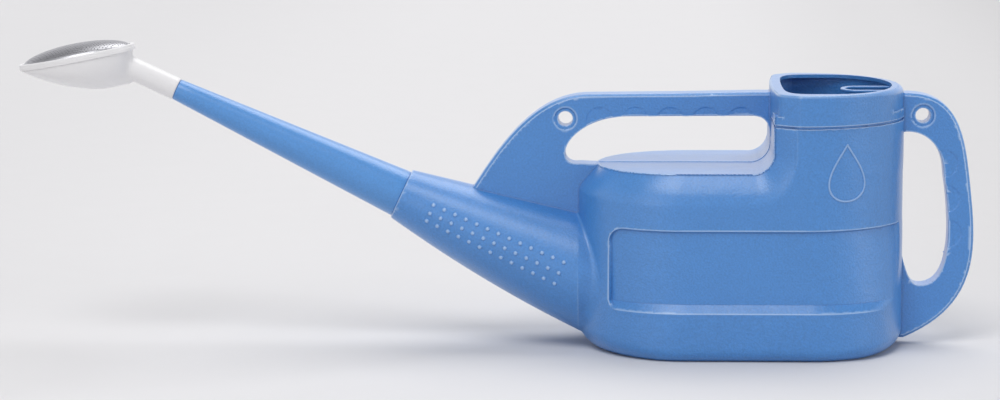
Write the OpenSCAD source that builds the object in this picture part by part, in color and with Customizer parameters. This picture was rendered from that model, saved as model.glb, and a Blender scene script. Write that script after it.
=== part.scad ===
// Long-spout watering can: a blow-moulded tank with two handles, a plug-in spout and a rose.
// The spout points to -X, the rear handle to +X, the base rests on Z = 0.

/* [Tank] */
// Distance from the origin to the spout end of the tank
tank_front = 122; // [112:1:130]
// Distance from the origin to the handle end of the tank
tank_rear = 119; // [110:1:126]
// Depth of the tank, side to side
tank_depth = 149; // [136:1:160]
// Length of the rounded part of each end
end_length = 80; // [66:1:86]
// Height of the flat top in front of the neck
shoulder_height = 136; // [128:1:146]
// Height of the slanted band around the flat top
band_height = 17; // [12:1:20]
// Width of the slanted band along the sides
band_side = 10; // [7:0.5:13]
// Width of the slanted band at the ends
band_end = 15; // [11:1:18]
// Thickness of the moulded wall
wall = 2; // [1.6:0.1:2.4]
// Inward lean of each side from the foot to the neck
lean = 1.5; // [0.5:0.1:2]

/* [Foot and belt] */
// Height of the foot below the belt
foot_height = 36; // [30:1:42]
// How far the foot stands out at the sides
foot_side = 2.5; // [1:0.5:4]
// How far the foot stands out at the rear
foot_rear = 8; // [4:0.5:9]
// Rounding under the foot
foot_round = 9; // [6:0.5:12]
// Height of the top edge of the sunk belt
belt_top = 96; // [88:1:102]
// Depth of the belt
belt_depth = 2; // [1:0.1:2.5]
// Height of the slope below the belt
belt_slope = 6; // [4:0.5:8]
// Distance from the tank's spout end to the belt's edge
belt_inset = 24; // [18:1:32]
// Width of the plain strip left at the rear of the belt
strip_width = 52; // [40:1:60]

/* [Neck and mouth] */
// Position of the neck's flat face
neck_face = 20.5; // [14:0.5:26]
// Radius of the hollow corner between the flat top and the neck
neck_corner = 18; // [12:1:22]
// Height of the collar's lower edge
collar_bottom = 171.5; // [166:0.5:176]
// Height of the mouth's rim
rim_height = 194; // [190:0.5:198]
// Overhang of the collar over the neck
collar_lip = 2; // [1:0.1:3]
// Width of the flange inside the rim
rim_flange = 12; // [8:0.5:14]
// Length of the loop that parks the rose
loop_length = 38; // [32:1:44]
// Width of the loop
loop_width = 30; // [27:0.5:34]
// Width of the loop's band
loop_band = 4.5; // [3:0.5:5]

/* [Handles] */
// Thickness of both handles, side to side
handle_width = 22; // [20:0.5:26]
// Height of the front handle's bar
bar_height = 17; // [15:0.5:19]
// Height of the front handle's top face
handle_top = 188; // [184:0.5:190]
// Length of the finger gap under the front handle
hand_gap = 146; // [138:1:150]
// Reach of the rear handle beyond the tank
rear_reach = 50; // [46:1:56]
// Rounding of the handles' outer edges
edge_round = 4.5; // [3:0.5:6]
// Pitch of the finger dents
finger_pitch = 26; // [24:0.5:27]
// Diameter of the hanging holes
hang_hole = 10.8; // [8:0.2:12]
// Diameter of the sunk pocket around each hanging hole
hang_pocket = 17; // [14:0.5:18]
// Thickness of the web in the pockets
hang_web = 6; // [4:0.5:8]

/* [Socket and spout] */
// Distance from the origin to the middle of the socket's mouth
socket_reach = 253.4; // [246:0.2:260]
// Height of the middle of the socket's mouth
socket_height = 111.8; // [108:0.2:116]
// Rise of the spout above the horizontal, in degrees
spout_rise = 25.2; // [23:0.2:27]
// Outer diameter of the socket's mouth
socket_od = 38.2; // [37.6:0.2:41]
// Diameter of the straight bore in the socket
socket_bore = 34.6; // [33.8:0.1:35]
// Depth of the straight bore
socket_depth = 20; // [16:1:26]
// Length of the spout outside the socket
spout_length = 184.5; // [160:0.5:210]
// Outer diameter of the spout at the socket
spout_root_od = 35.8; // [35.4:0.1:37]
// Outer diameter of the spout's tip
spout_tip_od = 16; // [15.4:0.2:18]
// Wall of the spout
spout_wall = 1.8; // [1.4:0.1:2]
// Bore of the spout's tip, where the rose plugs in
tip_bore = 12.8; // [12:0.1:13]
// Length of the spout's plug
plug_length = 28; // [26:1:36]

/* [Rose] */
// Length of the rose's face
rose_length = 88.4; // [80:0.2:96]
// Width of the rose's face
rose_width = 54; // [46:0.5:64]
// Depth of the bowl below the rim
bowl_depth = 29.4; // [26:0.2:32]
// Angle between the face and the spout's axis, in degrees
rose_tilt = 35.9; // [33:0.2:41]
// Length of the pipe between the spout's tip and the bowl
pipe_length = 35.4; // [28:0.2:46]
// Outer diameter of the pipe
pipe_od = 16.8; // [16:0.2:18]
// Bore of the pipe
pipe_bore = 13; // [11:0.5:13.5]
// Length of the spigot that plugs into the spout
spigot_length = 28; // [20:1:32]
// Bore of the spigot
spigot_bore = 7.6; // [6:0.2:8]
// Wall of the bowl
bowl_wall = 1.8; // [1.4:0.1:2.2]
// Height of the snap ring around the face
ring_height = 4.4; // [3.6:0.2:6]
// Wall of the snap ring
ring_wall = 1.6; // [1.2:0.1:2]
// Rise of the domed metal face
dome_rise = 7.8; // [5:0.2:10]
// Thickness of the metal face
dome_sheet = 0.8; // [0.6:0.1:1]

/* [Seals] */
// Depth of the groove for the spout's seal
spout_groove = 1.9; // [1.4:0.1:2]
// Length of the spout's seal along the axis
spout_seal_length = 3.6; // [2.6:0.2:5]
// Depth of the groove for the rose's seal
rose_groove = 1.2; // [0.8:0.1:1.4]
// Length of the rose's seal along the axis
rose_seal_length = 2.4; // [1.8:0.2:3.4]
// Gap all round between a plug and its bore
plug_clearance = 0.3; // [0.2:0.05:0.4]
// Gap all round between a seal and what it seals
seal_clearance = 0.08; // [0.04:0.01:0.1]

/* [Hidden] */
eps = 0.02;
blue = "steelblue";
white = "whitesmoke";
$ring_steps = 22;      // points along each half of an oval, fewer for the space inside
half = tank_depth / 2;
side_slope = lean / collar_bottom;

// ---------------------------------------------------------------- shared shapes

// Middle of a ring of points, and its normal, as long as twice its area.
function middle(r) = [for (p = r) 1]*r/len(r);
function ring_normal(r) = let (c = middle(r), n = len(r))
  [for (p = r) 1]*[for (i = [0:n - 1]) cross(r[i] - c, r[(i + 1) % n] - c)];

// Closed solid through a list of rings that have the same number of points.
module loft(rings) {
  n = len(rings[0]);
  m = len(rings);
  mid = rings[floor(m/2)];
  forward = ring_normal(mid)*(middle(rings[m - 1]) - middle(rings[0])) > 0;
  sides = [for (i = [0:m - 2]) for (j = [0:n - 1])
    each [[i*n + j, (i + 1)*n + j, i*n + (j + 1) % n],
          [i*n + (j + 1) % n, (i + 1)*n + j, (i + 1)*n + (j + 1) % n]]];
  caps = [[for (j = [0:n - 1]) j], [for (j = [n - 1:-1:0]) (m - 1)*n + j]];
  faces = concat(caps, sides);
  polyhedron(points = [for (r = rings) each r],
    faces = forward ? faces : [for (f = faces) [for (k = [len(f) - 1:-1:0]) f[k]]], convexity = 10);
}

// Point on a cubic curve.
function bezier(p, t) =
  pow(1 - t, 3)*p[0] + 3*t*pow(1 - t, 2)*p[1] + 3*t*t*(1 - t)*p[2] + pow(t, 3)*p[3];
function curve(p, n, from = 0, to = 1) = [for (i = [0:n]) bezier(p, from + (to - from)*i/n)];
function line(a, b, n) = [for (i = [0:n]) a + (b - a)*i/n];

// Oval with straight sides and elliptical ends, at height z.
function oval(front, rear, depth, curve_length, z) = concat(
  [for (i = [0:$ring_steps]) let (a = -90 + 180*i/$ring_steps)
    [rear - curve_length + curve_length*cos(a), depth*sin(a), z]],
  [for (i = [0:$ring_steps]) let (a = 90 + 180*i/$ring_steps)
    [-front + curve_length + curve_length*cos(a), depth*sin(a), z]]);

// ---------------------------------------------------------------- tank body

// The tank's oval at a height, moved in by e. The foot is wider, and the sides lean in.
function foot_oval(z, e) =
  oval(tank_front - e, tank_rear + foot_rear - e, half + foot_side - e, end_length - e, z);
function body_oval(z, e) = let (k = side_slope*z)
  oval(tank_front - k/3 - e, tank_rear + foot_rear/2*max(0, 1 - (z - foot_height)/(belt_top - foot_height))
    - k/2 - e, half - k - e, end_length - e, z);

// Body from the ground to the flat top. e moves it in, sunk is an extra inset along the belt.
module body(e, sunk) {
  r = foot_round - e;
  band_start = shoulder_height - band_height;
  loft(concat(
    [for (a = [0:22.5:90]) foot_oval(e + r*(1 - cos(a)), e + r*(1 - sin(a)))],
    [foot_oval(foot_height - e/2, e),
     body_oval(foot_height + belt_slope, e + sunk),
     body_oval(belt_top + e, e + sunk)],
    sunk > 0 ? [body_oval(belt_top + e + sunk + eps, e)] : [],
    [body_oval(band_start - e/2, e),
     oval(tank_front - band_end - e, tank_rear - band_end - e, half - lean - band_side - e,
       end_length - band_end - e, shoulder_height - e)]));
}

// Region of the belt, seen from the side, left out along the rear strip.
module belt_region() {
  left = -tank_front + belt_inset;
  corner = belt_slope + 3;
  for (s = [-1, 1])
    translate([0, s*(tank_depth + strip_width)/2, 0])
      rotate([90, 0, 0])
        linear_extrude(tank_depth, center = true)
          hull() {
            for (z = [foot_height + corner, belt_top - corner])
              translate([left + corner, z]) circle(corner, $fn = 24);
            translate([tank_rear, foot_height]) square([40, belt_top - foot_height]);
          }
}

module belt_floor() {
  loft([foot_oval(foot_height - 4, 0), foot_oval(foot_height, 0),
    body_oval(foot_height + belt_slope, belt_depth), body_oval(belt_top + 2, belt_depth)]);
}

// ---------------------------------------------------------------- neck and mouth

neck_half = half - lean;
collar_half = neck_half + collar_lip;

// Space over the flat top, up to the neck's face, grown by the band towards the sides.
function air_profile(y, t, e) = let (
    dx = band_end*t + e, dz = band_height*t + e,
    cx = neck_face - neck_corner, cz = shoulder_height + neck_corner,
    rx = neck_corner + dx, rz = neck_corner + dz)
  concat([[-tank_front - 40, y, cz - rz]],
    [for (i = [0:8]) let (a = -90 + 90*i/8) [cx + rx*cos(a), y, cz + rz*sin(a)]],
    [[cx + rx, y, rim_height + 40], [-tank_front - 40, y, rim_height + 40]]);

module air(e) {
  inner = neck_half - band_side - e;
  outer = neck_half - e;
  over = 1.4;
  loft([air_profile(-inner - (outer - inner)*over, over, e), air_profile(-outer, 1, e),
    air_profile(-inner, 0, e), air_profile(inner, 0, e), air_profile(outer, 1, e),
    air_profile(inner + (outer - inner)*over, over, e)]);
}

module neck(e) {
  base = shoulder_height - band_height;
  difference() {
    loft([body_oval(base - 12, e + 0.3), body_oval(base, e), body_oval(collar_bottom + 4, e)]);
    air(e);
    translate([-tank_front - 50, -tank_depth, -1]) cube([tank_front + 20, 2*tank_depth, rim_height]);
  }
}

// Outline of the collar: soft corners towards the front handle, the tank's own curve at the rear.
function mouth_outline(e, z) = let (
    left = neck_face - collar_lip*0.7 + e, right = tank_rear - lean + collar_lip/4 - e,
    d = collar_half - e, cx = 18 - e/4, cy = 38 - e*0.8, round_x = end_length - 4 - e)
  concat(
    [for (i = [0:$ring_steps]) let (a = -90 + 180*i/$ring_steps)
      [right - round_x + round_x*cos(a), d*sin(a), z]],
    [for (i = [0:8]) let (a = 90 + 90*i/8) [left + cx + cx*cos(a), d - cy + cy*sin(a), z]],
    [for (i = [0:8]) let (a = 180 + 90*i/8) [left + cx + cx*cos(a), -d + cy + cy*sin(a), z]]);

module collar() {
  loft([mouth_outline(collar_lip + 1, collar_bottom - 3), mouth_outline(0.6, collar_bottom - 0.2),
    mouth_outline(0, collar_bottom + 0.8), mouth_outline(0, rim_height - 2),
    mouth_outline(0.7, rim_height - 0.6), mouth_outline(2.2, rim_height)]);
}

module collar_cavity() {
  loft([mouth_outline(collar_lip + wall + 1, collar_bottom - 6),
    mouth_outline(wall + collar_lip/2, collar_bottom + 2),
    mouth_outline(wall, rim_height - wall - 2), mouth_outline(wall + 1.5, rim_height - wall - 0.5)]);
}

module mouth_opening() {
  loft([mouth_outline(rim_flange, rim_height - 8), mouth_outline(rim_flange - 0.6, rim_height - 1),
    mouth_outline(rim_flange - 2, rim_height + eps)]);
}

// Oval loop in the mouth, where the rose's pipe is parked when the rose is off.
loop_end = tank_rear - lean - wall/2;
loop_top = rim_height - 3;
module loop_outline(e) {
  r = loop_width/2 - e;
  hull() {
    translate([loop_end - rim_flange + 5 - loop_length + loop_width*0.4, 0]) scale([0.8, 1]) circle(r, $fn = 40);
    translate([loop_end - 8 - e, -r]) square([8, 2*r]);
  }
}

// ---------------------------------------------------------------- handles

// Ring of a handle: a rectangle with round corners, between an inner and an outer point.
function band_ring(i, o, e) = let (
    low = 2.2*e, d = (o - i)/norm(o - i), length = norm(o - i) - low - e, w = handle_width/2 - e,
    ro = max(edge_round - e, 0.6), ri = max(2 - e, 0.4),
    corner = function (y, s, r, from) [for (k = [0:2]) let (a = from + 45*k) [y + r*cos(a), s + r*sin(a)]])
  [for (q = concat(corner(w - ri, ri, ri, -90), corner(w - ro, length - ro, ro, 0),
      corner(-w + ro, length - ro, ro, 90), corner(-w + ri, ri, ri, 180)))
    [i.x + d.x*(q.y + low), q.x, i.y + d.y*(q.y + low)]];

module handle_loft(inner, outer, e) {
  loft([for (k = [0:len(inner) - 1]) band_ring(inner[k], outer[k], e)]);
}

// Front handle: an arch that rises from the socket, then a level bar to the neck.
bar_bottom = handle_top - bar_height;
gap_end = neck_face - hand_gap - 6;
arch_foot = [-tank_front - 78, 117];
arch = [arch_foot, [-tank_front - 61, 147], [-tank_front - 37, handle_top + 1], [-tank_front + 10, handle_top]];
gap_curve = [[gap_end + 10, shoulder_height - 2.7], [gap_end - 9, shoulder_height - 2],
  [gap_end, bar_bottom - 2], [gap_end + 45, bar_bottom]];
front_inner = concat(
  line([-tank_front - 68, 98], [-tank_front - 2, 96], 4),
  curve(gap_curve, 12, 0.14, 1),
  line([gap_end + 80, bar_bottom], [neck_face - 11, bar_bottom + 0.5], 1),
  [[neck_face - 4, bar_bottom - 1.5], [neck_face, bar_bottom - 7], [neck_face + 6, bar_bottom - 8]]);
front_outer = concat(
  curve(arch, 4, 0, 0.46),
  curve(arch, 12, 0.47, 1),
  line([gap_end + 80, handle_top], [neck_face - 11, handle_top + 0.6], 1),
  [[neck_face - 4, handle_top + 0.6], [neck_face + 2, handle_top + 0.6], [neck_face + 8, handle_top + 0.6]]);

module front_handle(e) {
  handle_loft(front_inner, front_outer, e);
  // corner of the fin over the tank's slanted band
  rotate([90, 0, 0])
    linear_extrude(handle_width - 2*e, center = true)
      polygon([[-tank_front - 14, 95], [gap_end - 1, shoulder_height - 0.7 - e],
        [gap_end + 30, shoulder_height - 0.7 - e], [-tank_front + 40, 95]]);
}

// Rear handle: a loop from the collar down to the foot.
reach = tank_rear + rear_reach;
rear_top = handle_top;
rear_outer = concat(
  curve([[tank_rear - 8, rear_top], [reach - 9, rear_top + 5], [reach - 6, 160], [reach - 1.5, 118]], 10),
  curve([[reach - 1.5, 118], [reach + 4, 70], [reach + 7, 28], [tank_rear - 7, 4.2]], 12, 0.08, 1));
rear_inner = concat(
  curve([[tank_rear - 2, 146], [tank_rear, 164], [reach - 23, 166], [reach - 20.4, 128]], 10),
  curve([[reach - 20.4, 128], [reach - 15, 95], [reach - 12, 42], [tank_rear + 9, 44.4]], 7, 0.1, 1),
  curve([[tank_rear + 9, 44.4], [tank_rear + 2, 45], [tank_rear - 2, 50], [tank_rear - 3, 62]], 4, 0.2, 1));

module rear_handle(e) {
  handle_loft(rear_inner, rear_outer, e);
}

// Finger dents along the inner edges of both handles: grown by g, one dent at each place.
dent_radius = 10.6;
dent_depth = 5.4;
front_fingers = 5;
rear_fingers = 3;
rear_grip = [reach - 18.2, 136];     // upper end of the rear handle's row of dents
rear_grip_lean = 4;                  // lean of that row, in degrees
function dent_disc(y, r, drop) =
  [for (i = [0:13]) let (a = 360*i/14) [r*cos(a), y, r*sin(a) - drop]];
module dent() {
  for (s = [-1, 1])
    loft([dent_disc(s*(handle_width/2 + 0.5), dent_radius, dent_radius*0.3),
      dent_disc(s*(handle_width/2 - dent_depth), dent_radius*0.6, dent_radius*0.6)]);
}

// Places each row of fingers along +X under the bar of its own handle.
module on_front_grip() {
  translate([gap_end + 28, 0, bar_bottom]) children();
}
module on_rear_grip() {
  translate([rear_grip.x, 0, rear_grip.y]) rotate([0, 90 - rear_grip_lean, 0]) children();
}

module dents() {
  on_front_grip() for (i = [0:front_fingers - 1]) translate([i*finger_pitch, 0, 0]) dent();
  on_rear_grip() for (i = [0:rear_fingers - 1]) translate([i*finger_pitch, 0, 0]) dent();
}

// Solid backing behind the dents, so that the hollow stays clear of them.
module backing(count) {
  for (s = [-1, 1])
    translate([-dent_radius - wall, s*handle_width/2 - (dent_depth + wall), -dent_radius])
      cube([(count - 1)*finger_pitch + 2*(dent_radius + wall), 2*(dent_depth + wall), 2*dent_radius]);
}

// Hanging holes, with a sunk pocket on both sides.
hang_places = [[-tank_front - 9, handle_top - 19.2], [tank_rear + 13, handle_top - 17]];
module hang_cylinders(d, length) {
  for (p = hang_places) translate([p.x, 0, p.y]) rotate([90, 0, 0]) cylinder(d = d, h = length, center = true);
}

module hang_pockets() {
  for (s = [-1, 1])
    translate([0, s*(hang_web + handle_width)/2, 0]) hang_cylinders(hang_pocket, handle_width, $fn = 32);
}

// ---------------------------------------------------------------- socket

// Frame along the spout: the origin is s along the axis from the socket's mouth, +Z to the rose.
module on_spout_axis(s = 0) {
  translate([-socket_reach, 0, socket_height])
    rotate([0, spout_rise - 90, 0])
      translate([0, 0, s]) children();
}

function cone_ring(top, bottom, depth, e) = let (
    cone_steps = 2*$ring_steps - 8,
    c = (top + bottom)/2, d = (top - bottom)/2, r = norm(d) - e, u = d/norm(d))
  [for (j = [0:cone_steps - 1]) let (a = 360*j/cone_steps)
    [c.x + u.x*r*cos(a), (depth - e)*sin(a), c.y + u.y*r*cos(a)]];

axis_dir = [-cos(spout_rise), sin(spout_rise)];
axis_up = [sin(spout_rise), cos(spout_rise)];
lip = [-socket_reach, socket_height];
lip_top = lip + axis_up*socket_od/2;
lip_bottom = lip - axis_up*socket_od/2;
cone_root_top = [-tank_front + 1, 99.5];
cone_root_bottom = [-tank_front + 1, 9.6];
cone_under = [lip_bottom, lip_bottom + [48, -34.5], [-tank_front - 45, 32], cone_root_bottom];

module cone(e, from = 0) {
  loft(concat(
    [for (t = [from:(1 - from)/7:1]) let (top = lip_top + (cone_root_top - lip_top)*t, under = bezier(cone_under, t))
      cone_ring(top, under, norm(top - under)/2, e)],
    [cone_ring([-tank_front + 26, 92], [-tank_front + 26, 12 + e], 44, e)]));
}

// ---------------------------------------------------------------- pieces

module tank_outside() {
  difference() {
    union() {
      difference() {
        body(0, 0);
        difference() {
          belt_region();
          belt_floor();
        }
      }
      neck(0);
      collar();
      cone(0);
      front_handle(0);
      rear_handle(0);
    }
    dents();
    hang_pockets();
  }
}

module tank_hollow($ring_steps = 14) {
  difference() {
    union() {
      body(wall, belt_depth);
      neck(wall);
      collar_cavity();
      cone(wall, 0.16);
      front_handle(wall);
      rear_handle(wall);
    }
    hang_cylinders(hang_pocket + 2*wall, handle_width, $fn = 24);
    on_front_grip() backing(front_fingers);
    on_rear_grip() backing(rear_fingers);
  }
}

module rose_loop() {
  translate([0, 0, loop_top - wall])
    linear_extrude(wall)
      difference() {
        loop_outline(0);
        loop_outline(loop_band);
      }
}

module tank_skin() {
  difference() {
    tank_outside();
    tank_hollow();
    mouth_opening();
  }
  rose_loop();
}

module tank() {
  color(blue)
    difference() {
      resize([0, 0, 0]) tank_skin();
      hang_cylinders(hang_hole, 2*handle_width, $fn = 64);
      on_spout_axis(-socket_depth - 12)
        cylinder(d = socket_bore, h = socket_depth + 14, $fn = 96);
    }
}

// Diameters and places along the spout's plug.
plug_od = socket_bore - 2*plug_clearance;
plug_bore = plug_od - 2*(spout_groove + spout_wall) + 1;
groove_place = -socket_depth/2 - spout_seal_length/2;
groove_margin = 0.2;
spigot_od = tip_bore - 2*plug_clearance;
rose_groove_place = -spigot_length/2 - rose_seal_length/2;

module spout() {
  root_bore = spout_root_od - 2*spout_wall;
  tip_depth = spigot_length + 3;
  color(blue)
    on_spout_axis()
      rotate_extrude($fn = 96)
        polygon([
          [plug_bore/2, -plug_length], [plug_od/2 - 1.2, -plug_length], [plug_od/2, -plug_length + 2],
          [plug_od/2, groove_place - groove_margin],
          [plug_od/2 - spout_groove, groove_place - groove_margin],
          [plug_od/2 - spout_groove, groove_place + spout_seal_length + groove_margin],
          [plug_od/2, groove_place + spout_seal_length + groove_margin],
          [plug_od/2, 0], [spout_root_od/2, 0], [spout_tip_od/2, spout_length],
          [tip_bore/2, spout_length], [tip_bore/2, spout_length - tip_depth],
          [tip_bore/2 + 0.6, spout_length - tip_depth - 2],
          [root_bore/2 - 1, 8], [plug_bore/2, 2]]);
}

// Round seal in a groove: d_in and d_out are the groove floor and the bore that it seals.
module seal(d_in, d_out, length) {
  color("dimgray")
    rotate_extrude($fn = 96)
      translate([d_in/2 + seal_clearance, 0])
        square([(d_out - d_in)/2 - 2*seal_clearance, length]);
}

module spout_seal() {
  on_spout_axis(groove_place)
    seal(plug_od - 2*spout_groove, socket_bore, spout_seal_length);
}

module rose_seal() {
  on_spout_axis(spout_length + rose_groove_place)
    seal(spigot_od - 2*rose_groove, tip_bore, rose_seal_length);
}

// Frame of the rose: origin at the middle of the rim, +X along the face, +Z out of the face.
pierce_x = rose_length*0.449;
pierce_z = bowl_depth*0.653;
module on_rose() {
  on_spout_axis(spout_length + pipe_length)
    rotate([0, 90 - rose_tilt, 0])
      translate([-pierce_x, 0, pierce_z]) children();
}

bowl_a = rose_length/2 - ring_wall/2;
bowl_b = rose_width/2 - ring_wall/2;
// Depth of the bowl along the face: it deepens from the far tip to the pipe.
function bowl_keel(x) = let (t = (x + bowl_a)/(2*bowl_a))
  (bowl_depth - ring_height)*(1 - pow(1 - min(1, t/0.76), 1.8));
bowl_stations = [-0.985, -0.93, -0.85, -0.72, -0.55, -0.35, -0.15, 0.05, 0.25, 0.45, 0.62, 0.76, 0.87, 0.94, 0.985];
end_lean = 0.24;       // how far the wall at the pipe leans, per depth

function bowl_ring(k, e, lift) = let (
    b = (bowl_b - e)*sqrt(1 - k*k*0.97), d = max(bowl_keel(k*bowl_a) - e, 0.6),
    soft = function (v) sign(v)*pow(abs(v), 0.85))
  [for (i = [0:20]) let (a = 180 + 9*i, z = lift - ring_height + (d + lift)*soft(sin(a)))
    [k*(bowl_a - e) + end_lean*z*max(0, k), b*soft(cos(a)), z]];

// The bowl, moved in by e and raised by lift.
module bowl(e, lift) {
  loft([for (k = bowl_stations) bowl_ring(k, e, lift)]);
}

function rose_oval(e, z = 0) =
  [for (i = [0:59]) let (a = 6*i) [(rose_length/2 - e)*cos(a), (rose_width/2 - e)*sin(a), z]];
module rose_prism(e, low, high) {
  loft([rose_oval(e, low), rose_oval(e, high)]);
}

module rose_body() {
  color(white)
    difference() {
      union() {
        on_rose() bowl(0, 0);
        on_spout_axis(spout_length) cylinder(d = pipe_od, h = pipe_length + 6, $fn = 64);
        on_spout_axis(spout_length - spigot_length)
          rotate_extrude($fn = 64)
            polygon([[0, 0], [spigot_od/2 - 0.8, 0], [spigot_od/2, 1.2],
              [spigot_od/2, spigot_length + rose_groove_place - groove_margin],
              [spigot_od/2 - rose_groove, spigot_length + rose_groove_place - groove_margin],
              [spigot_od/2 - rose_groove,
                spigot_length + rose_groove_place + rose_seal_length + groove_margin],
              [spigot_od/2, spigot_length + rose_groove_place + rose_seal_length + groove_margin],
              [spigot_od/2, spigot_length + 1], [0, spigot_length + 1]]);
      }
      on_rose() bowl(bowl_wall, 0.4);
      on_spout_axis(spout_length + 3) cylinder(d = pipe_bore, h = pipe_length + 6, $fn = 64);
      on_spout_axis(spout_length - spigot_length - 1) cylinder(d = spigot_bore, h = spigot_length + 6, $fn = 48);
    }
}

lip_width = 1.4;       // part of the ring that reaches over the face
plate_gap = 0.1;       // play between the face and the ring around it
module rose_rim() {
  color(white)
    on_rose()
      difference() {
        rose_prism(0, -ring_height, 0);
        rose_prism(ring_wall, -ring_height - 1, -ring_wall);
        rose_prism(ring_wall + lip_width, -ring_height, 1);
      }
}

// Domed face: a skirt that stands on the bowl, a flat edge under the ring's lip, and a lens-shaped dome.
module dome_shell(e, low) {
  edge = ring_wall + plate_gap;
  step = lip_width + 0.3;
  top = -ring_wall - plate_gap - e;
  rise = dome_rise + ring_wall + plate_gap;
  loft(concat(
    [rose_oval(edge + e, low), rose_oval(edge + e, top), rose_oval(edge + step + e, top)],
    [for (a = [15:15:75]) dome_ring(edge + step + e, cos(a), top + rise*pow(sin(a), 1.1))],
    [dome_ring(edge + step + e, 0.06, top + rise)]));
}

// Oval inside the edge, drawn in towards the middle by a share of its own size.
function dome_ring(e, share, z) =
  [for (i = [0:59]) let (a = 6*i)
    [(rose_length/2 - e)*share*cos(a), (rose_width/2 - e)*share*sin(a), z]];

module rose_plate() {
  color("darkgray")
    on_rose()
      difference() {
        dome_shell(0, -ring_height);
        dome_shell(dome_sheet, -ring_height - 1);
      }
}

tank();
spout();
spout_seal();
rose_body();
rose_rim();
rose_plate();
rose_seal();
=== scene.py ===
# %% [markdown]
# # A long-spout watering can
# The can is a blow-moulded tank with two handles, a turned spout that plugs into
# it, and an oval rose with a perforated steel face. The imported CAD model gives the
# sizes and the places. This file dresses it: smooth moulded skins, real holes in
# the rose, and materials made from nodes.

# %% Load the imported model
import math

import bpy
import numpy as np
from mathutils import Matrix, Vector


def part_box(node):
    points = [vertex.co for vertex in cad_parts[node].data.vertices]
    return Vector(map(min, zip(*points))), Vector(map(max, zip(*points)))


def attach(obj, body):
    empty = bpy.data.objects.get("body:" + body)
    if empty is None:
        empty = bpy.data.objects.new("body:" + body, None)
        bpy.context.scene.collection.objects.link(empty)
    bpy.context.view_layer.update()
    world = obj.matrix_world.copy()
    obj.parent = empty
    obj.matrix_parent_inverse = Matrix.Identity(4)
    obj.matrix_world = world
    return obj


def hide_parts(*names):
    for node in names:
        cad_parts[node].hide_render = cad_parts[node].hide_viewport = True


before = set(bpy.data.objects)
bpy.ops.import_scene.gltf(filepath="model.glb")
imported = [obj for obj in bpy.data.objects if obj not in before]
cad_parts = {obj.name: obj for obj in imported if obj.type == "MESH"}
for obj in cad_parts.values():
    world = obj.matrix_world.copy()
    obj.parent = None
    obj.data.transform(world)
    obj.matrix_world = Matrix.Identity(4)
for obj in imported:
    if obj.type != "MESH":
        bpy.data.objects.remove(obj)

for spare in ("Cube", "Light", "Camera"):
    if spare in bpy.data.objects:
        bpy.data.objects.remove(bpy.data.objects[spare])

MM = 0.001
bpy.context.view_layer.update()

# %% [markdown]
# ## The camera
# The can is seen almost square on, from a little above its rim and from over two
# metres away, so its sides stay nearly parallel. A long lens gives that flat view.
# The camera is turned slightly towards the rose and tipped down to the ground.

# %% Camera
def add_camera(place, aim_left, aim_down, roll, lens):
    """A camera that looks along +Y, then turns left, down and round its own axis, in degrees."""
    data = bpy.data.cameras.new("studio_camera")
    data.lens, data.sensor_width = lens, 36
    camera = bpy.data.objects.new("studio_camera", data)
    bpy.context.scene.collection.objects.link(camera)
    turn = (Matrix.Rotation(math.radians(aim_left), 4, "Z")
            @ Matrix.Rotation(math.radians(90 - aim_down), 4, "X")
            @ Matrix.Rotation(math.radians(roll), 4, "Z"))
    camera.matrix_world = Matrix.Translation(place) @ turn
    bpy.context.scene.camera = camera
    return camera

camera = add_camera((-0.0694, -2.2, 0.452), 2.876, 8.897, -0.353, 107.76)
bpy.context.view_layer.update()
print("camera lens", round(camera.data.lens, 1), "mm, height", round(camera.location.z, 3), "m")

# %% [markdown]
# ## Shapes as distances
# A blow-moulded part has no hard joins: its walls flow into each other. A distance
# field suits that. It is a formula that is negative inside the plastic, zero on the
# skin and positive outside. Two shapes are joined by taking the smaller value, and
# a soft minimum leaves a fillet between them.

# %% Ways to join distances
def soft_max(a, b, k):
    """The larger of two distances, with the edge between them rounded over about k mm."""
    h = np.clip(0.5 + 0.5 * (a - b) / k, 0, 1)
    return b + (a - b) * h + k * h * (1 - h)

def soft_min(a, b, k):
    """The smaller of two distances, with a fillet of about k mm."""
    return -soft_max(-a, -b, k)

def round_edge(a, b, r):
    """Where two faces meet, an outer edge with a true radius r."""
    return (np.hypot(np.maximum(a + r, 0), np.maximum(b + r, 0))
            + np.minimum(np.maximum(a, b) + r, 0) - r)

def blend(a, b, t):
    return a + (b - a) * t

print("two faces 1 mm inside a 4 mm edge:", round(float(round_edge(-1.0, -1.0, 4.0)), 2))

# %% Curves and outlines
def bezier(points, start=0.0, stop=1.0, steps=24):
    """Points along a cubic curve, as rows of x and z."""
    t = np.linspace(start, stop, steps)[:, None]
    p = np.asarray(points, float)
    return ((1 - t)**3 * p[0] + 3 * t * (1 - t)**2 * p[1]
            + 3 * t**2 * (1 - t) * p[2] + t**3 * p[3])

def outline_distance(u, v, outline):
    """Distance from a closed outline, negative inside it."""
    near = np.full(u.shape, 1e9)
    inside = np.ones(u.shape)
    for (ax, ay), (bx, by) in zip(outline, np.roll(outline, 1, axis=0)):
        ex, ey = bx - ax, by - ay
        wx, wy = u - ax, v - ay
        t = np.clip((wx * ex + wy * ey) / max(ex * ex + ey * ey, 1e-9), 0, 1)
        near = np.minimum(near, (wx - t * ex)**2 + (wy - t * ey)**2)
        above, below, left = v >= ay, v < by, ex * wy > ey * wx
        cross = (above & below & left) | (~above & ~below & ~left)
        inside = np.where(cross, -inside, inside)
    return inside * np.sqrt(near)

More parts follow.
